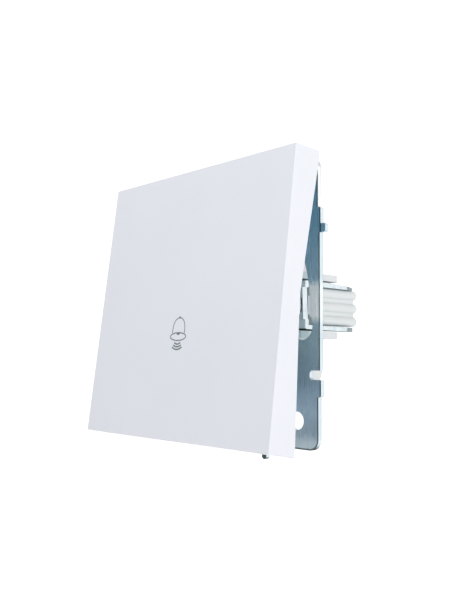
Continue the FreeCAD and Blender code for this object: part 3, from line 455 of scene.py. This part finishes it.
def strip_line():
    """Stations down the strip from tip to tip: the outer and the inner face's (y, z)."""
    stations = []
    for step in range(leg_steps):
        y = tip_y + (heel_y - tip_y) * step / (leg_steps - 1)
        thinned = (thinned_by * ramp(y, thinned_from, thinned_to)
                   + tip_thinned_by * ramp(y, thinned_to, tip_y))
        stations.append(((y, upper_out - thinned), (y, upper_in)))
    for step in range(1, bend_steps + 1):
        angle = math.radians(90 * step / bend_steps)
        back, up = 1 - math.sin(angle), 1 - math.cos(angle)
        stations.append(((base_front + bend_outer_r * back, upper_out - bend_outer_r * up),
                         (base_back + bend_inner_r * back, upper_in - bend_inner_r * up)))
    heights = [lip_top + 0.10, lip_top - 0.05]
    heights += [hole_half_h * (1.6 - step / 10) for step in range(1, 32)]
    heights = [z for z in heights if lip_foot + 0.05 < z < upper_in - bend_inner_r]
    for z in heights + [lip_foot + 0.05, lip_foot - 0.10, base_foot]:
        stations.append(((base_front, z), (base_back, z)))
    for step in range(bend_steps):
        angle = math.radians(90 * step / bend_steps)
        back, up = 1 - math.cos(angle), 1 - math.sin(angle)
        stations.append(((base_front + bend_outer_r * back, -lower_out + bend_outer_r * up),
                         (base_back + bend_inner_r * back, -lower_in + bend_inner_r * up)))
    for step in range(leg_steps):
        y = heel_y + (tip_y - heel_y) * step / (leg_steps - 1)
        drop = splay_by * ramp(y, splay_from, splay_to)
        stations.append(((y, -lower_out - drop), (y, -lower_in - drop)))
    return stations


def strip_edges(y, z):
    """Inner and outer x of the strip at a station."""
    if y < base_back and abs(z) < upper_in:
        return base_inner_x, base_outer_x
    along = ramp(y, base_front, leg_narrows_y)
    inner = leg_inner_x + leg_inner_in * along + tip_in * ramp(y, tip_inner_from, tip_y)
    outer = base_outer_x - leg_outer_in * along - tip_in * ramp(y, tip_outer_from, tip_y)
    return inner, outer


def strip_faces(x, z, in_base, outer_face, inner_face):
    """Front and back (y, z) of the strip at x: its bead, its curl or its flat faces."""
    if in_base and lip_foot < z < lip_top and x > curl_x:
        curl = ramp(x, curl_x, base_outer_x) ** 1.5
        middle = rock_y - (curl_reach + curl_slope * z) * curl
        half_t = strip_t / 2 + curl_swell * curl
        return (middle - half_t, z), (middle + half_t, z)
    if in_base and x < bead_x:
        bead = max(math.sqrt(max(bead_r ** 2 - (bead_x - x) ** 2, 0.0)), bead_least)
        return (rock_y - bead, z), (rock_y + bead, z)
    return outer_face, inner_face


def claw_strip(side):
    """The strip's mesh on the right side, or its mirror image on the left."""
    mesh = bmesh.new()
    sheets = []
    for outer_face, inner_face in strip_line():
        y, z = outer_face
        inner, outer = strip_edges(inner_face[0] - 0.01, inner_face[1])
        in_base = y < base_front + 0.001 and abs(z) < base_half_h
        reach = 1.0 - (z / hole_half_h) ** 2
        opening = hole_half_w * math.sqrt(reach) if reach > 0.001 and in_base else 0.0
        middle_x = hole_x + middle_shift * ramp(y, tip_inner_from, tip_y)
        rows = []
        for start, end in ((inner, middle_x - opening), (middle_x + opening, outer)):
            for column in range(columns):
                x = start + (end - start) * column / (columns - 1)
                rows.append([mesh.verts.new((side * x / 1000, face_y / 1000, face_z / 1000))
                             for face_y, face_z
                             in strip_faces(x, z, in_base, outer_face, inner_face)])
        sheets.append((rows, opening))
    last, gap_at = 2 * columns - 1, columns - 1
    for (rows, gap), (below, gap_below) in zip(sheets, sheets[1:]):
        walls = [0, last]
        if gap or gap_below:
            walls += [gap_at, gap_at + 1]
        for edge in walls:
            mesh.faces.new((rows[edge][0], rows[edge][1], below[edge][1], below[edge][0]))
        for column in range(last):
            if column != gap_at:
                for face in (0, 1):
                    mesh.faces.new((rows[column][face], rows[column + 1][face],
                                    below[column + 1][face], below[column][face]))
    for rows in (sheets[0][0], sheets[-1][0]):
        for column in range(last):
            if column != gap_at:
                mesh.faces.new((rows[column][0], rows[column + 1][0],
                                rows[column + 1][1], rows[column][1]))
    bmesh.ops.remove_doubles(mesh, verts=mesh.verts, dist=0.000002)
    bmesh.ops.recalc_face_normals(mesh, faces=mesh.faces)
    # Painted shade and light: low down-facing faces get the dark shaded copy of the zinc, and
    # faces toward the room the pale lit copy.
    for face in mesh.faces:
        if face.normal.z < -0.7 and face.calc_center_median().z < -0.005:
            face.material_index = shade_index
        elif face.normal.y < -0.6:
            face.material_index = lit_face_index
    data = bpy.data.meshes.new("spreader_claw")
    mesh.to_mesh(data)
    mesh.free()
    return data


def smooth_shaded(data, sharp_deg):
    """Shades a mesh smooth, except across edges sharper than the angle."""
    for polygon in data.polygons:
        polygon.use_smooth = True
    data.set_sharp_from_angle(angle=math.radians(sharp_deg))


zinc_strip = plated("zinc_strip", (0.78, 0.85, 0.88), (0.62, 0.71, 0.75), 0.16, 420.0, 320.0)
# Dark non-metallic copy of the zinc, painted shade for the lower leg's underside.
strip_painted_shade = plated("strip_painted_shade", (0.10, 0.17, 0.17), (0.06, 0.11, 0.11), 0.60, 420.0, 320.0)
# Pale non-metallic copy of the zinc, painted light for the strip's faces toward the room.
strip_painted_light = plated("strip_painted_light", (0.92, 1.00, 1.00), (0.74, 0.86, 0.90), 0.40, 420.0, 320.0)
for painted_copy in (strip_painted_shade, strip_painted_light):
    finish_tools(painted_copy)[0].inputs["Metallic"].default_value = 0.0
for side_name, side in (("right", 1), ("left", -1)):
    strip = bpy.data.objects.new("spreader_claw_" + side_name, claw_strip(side))
    bpy.context.scene.collection.objects.link(strip)
    soften = strip.modifiers.new("rolled_edges", "BEVEL")
    soften.width = 0.00013
    soften.segments = 2
    soften.limit_method = "ANGLE"
    soften.angle_limit = math.radians(50)
    smooth_shaded(strip.data, 35)
    for material in (zinc_strip, strip_painted_shade, strip_painted_light):
        strip.data.materials.append(material)
    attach(strip, "claw_" + side_name)
    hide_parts("claw_" + side_name)


# The claw screws: turned steel, zinc plated, each with a rolled thread for a square nut.
# Ridges are modelled where the shank is bare, ahead of the claw and behind the nut.
def threaded(name, axis, pitch_mm, start):
    """Plated screw steel whose thread shows past start along the screw's axis."""
    material, shader, add, wire = new_finish(name)
    where = add("ShaderNodeTexCoord").outputs["Object"]
    wear = add("ShaderNodeTexNoise", {"Vector": where, "Scale": 500.0,
                                      "Detail": 4.0}).outputs["Fac"]
    wire(toned(add, wear, (0.0, (0.52, 0.55, 0.58)), (1.0, (0.72, 0.74, 0.76))), "Base Color")
    wire(fade(add, wear, 0.0, 1.0, 0.2, 0.42), "Roughness")
    turns = add("ShaderNodeTexWave", {"Vector": where, "Distortion": 0.0,
                                      "Scale": math.pi / 10 / (pitch_mm / 1000)},
                bands_direction=axis, wave_profile="TRI")
    split = add("ShaderNodeSeparateXYZ", {"Vector": where})
    shank = sums(add, "GREATER_THAN", split.outputs[axis], start)
    relief = add("ShaderNodeBump", {"Height": sums(add, "MULTIPLY", turns.outputs["Fac"], shank),
                                    "Strength": 0.9, "Distance": 0.00025})
    wire(relief.outputs["Normal"], "Normal")
    shader.inputs["Metallic"].default_value = 1.0
    return material


def wound(name, centre, track):
    """A closed mesh: sections of (radius, along) points carried along a helix about Y."""
    mesh = bmesh.new()
    rings = []
    for turn, y, section in track:
        angle = 2 * math.pi * turn
        rings.append([mesh.verts.new(((centre[0] + radius * math.cos(angle)) / 1000,
                                      (y + along) / 1000,
                                      (centre[1] + radius * math.sin(angle)) / 1000))
                      for radius, along in section])
    for ring, after in zip(rings, rings[1:]):
        for index in range(len(ring)):
            other = (index + 1) % len(ring)
            mesh.faces.new((ring[index], ring[other], after[other], after[index]))
    mesh.faces.new(rings[0])
    mesh.faces.new(rings[-1])
    bmesh.ops.recalc_face_normals(mesh, faces=mesh.faces)
    data = bpy.data.meshes.new(name)
    mesh.to_mesh(data)
    mesh.free()
    smooth_shaded(data, 40)
    piece = bpy.data.objects.new(name, data)
    bpy.context.scene.collection.objects.link(piece)
    return piece


screw_x = 22.5
thread_root, thread_crest, thread_pitch, thread_sunk = 1.48, 1.62, 0.5, 0.05
ridge_half_w, thread_steps, run_out = 0.20, 20, 3
claw_screw_steel = threaded("claw_screw_steel", "Y", thread_pitch, -0.0010)
for name in ("claw_screw_right", "claw_screw_left"):
    dress(name, claw_screw_steel)
for side_name, side in (("right", 1), ("left", -1)):
    for part, thread_from, thread_to in (("front", 0.25, 3.3), ("end", 8.95, 9.25)):
        turns = (thread_to - thread_from) / thread_pitch
        steps = math.ceil(turns * thread_steps)
        track = []
        for step in range(steps + 1):
            turn = turns * step / steps
            rise = min(1.0, run_out * turn + 0.05, run_out * (turns - turn) + 0.05)
            crest = thread_root + (thread_crest - thread_root) * rise
            track.append((turn, thread_from + (thread_to - thread_from) * step / steps,
                          [(thread_root - thread_sunk, -ridge_half_w), (crest, 0.0),
                           (thread_root - thread_sunk, ridge_half_w)]))
        thread = wound(f"claw_thread_{part}_{side_name}", (side * screw_x, 0.0), track)
        thread.data.materials.append(claw_screw_steel)
        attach(thread, "frame")

# The square nuts behind the claws and the two terminal screws: pressed and turned steel,
# zinc plated. The nuts run on the claw screws, the terminal screws in their brass cages.
nut_steel = plated("nut_steel", (0.70, 0.72, 0.74), (0.52, 0.56, 0.60), 0.30, 400.0, 500.0)
for name in ("claw_nut_right", "claw_nut_left"):
    dress(name, nut_steel)
terminal_screw_steel = threaded("terminal_screw_steel", "Z", 0.5, -0.0202)
for name in ("terminal_screw_right", "terminal_screw_left"):
    dress(name, terminal_screw_steel)

# Contact gear inside the block: a bridge, two strips and two cages stamped and bent from
# brass, left uncoated, with silver tips where the bridge meets the strips.
brass_strip = plated("brass_strip", (0.82, 0.64, 0.33), (0.62, 0.46, 0.22), 0.30, 300.0, 400.0)
for name in ("contact_bridge", "contact_strip_right", "contact_strip_left",
             "terminal_cage_right", "terminal_cage_left"):
    dress(name, brass_strip)
silver_tip = plated("silver_tip", (0.88, 0.87, 0.84), (0.70, 0.69, 0.66), 0.25, 600.0, 700.0)
for name in ("moving_contacts", "fixed_contacts"):
    dress(name, silver_tip)

# The return spring: drawn steel wire wound with three open turns between closed ends. It
# sits on the block's seat. The real spring shortens as the plunger comes in; this coil is wound at
# one fixed length. Sizes are in millimetres.
wire_r, coil_r, wire_sides = 0.30, 2.40, 12
spring_front, spring_seat, plunger_z, travel = 1.52, 9.50, -12.0, 1.63
closed_turns, open_turns, coil_steps = 1.0, 3.0, 24
closed_rise = 2 * wire_r * closed_turns * 1.02
open_rise = spring_seat - spring_front - 2 * wire_r - 2 * closed_rise
wire_section = []
for step in range(wire_sides):
    angle = 2 * math.pi * step / wire_sides
    wire_section.append((coil_r + wire_r * math.cos(angle), wire_r * math.sin(angle)))
track = []
for step in range(int(coil_steps * (open_turns + 2 * closed_turns)) + 1):
    turn = step / coil_steps
    rise = min(turn, closed_turns) / closed_turns * closed_rise
    rise += min(max(turn - closed_turns, 0.0), open_turns) / open_turns * open_rise
    rise += max(turn - closed_turns - open_turns, 0.0) / closed_turns * closed_rise
    track.append((turn, spring_front + wire_r + rise, wire_section))
coil = wound("spring_coil", (0.0, plunger_z), track)
coil.data.materials.append(plated("spring_wire", (0.60, 0.61, 0.63), (0.38, 0.39, 0.41),
                                  0.28, 700.0, 900.0))
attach(coil, "frame")
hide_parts("return_spring")
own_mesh(coil)

# The plunger: a white acetal moulding that slides in the front cover. The rocker's foot
# presses it in, and it carries the contact bridge.
acetal_white = moulded("acetal_white", (0.85, 0.85, 0.83), (0.82, 0.82, 0.80), 0.38, 0.4, 0.01)
dress("plunger", acetal_white)
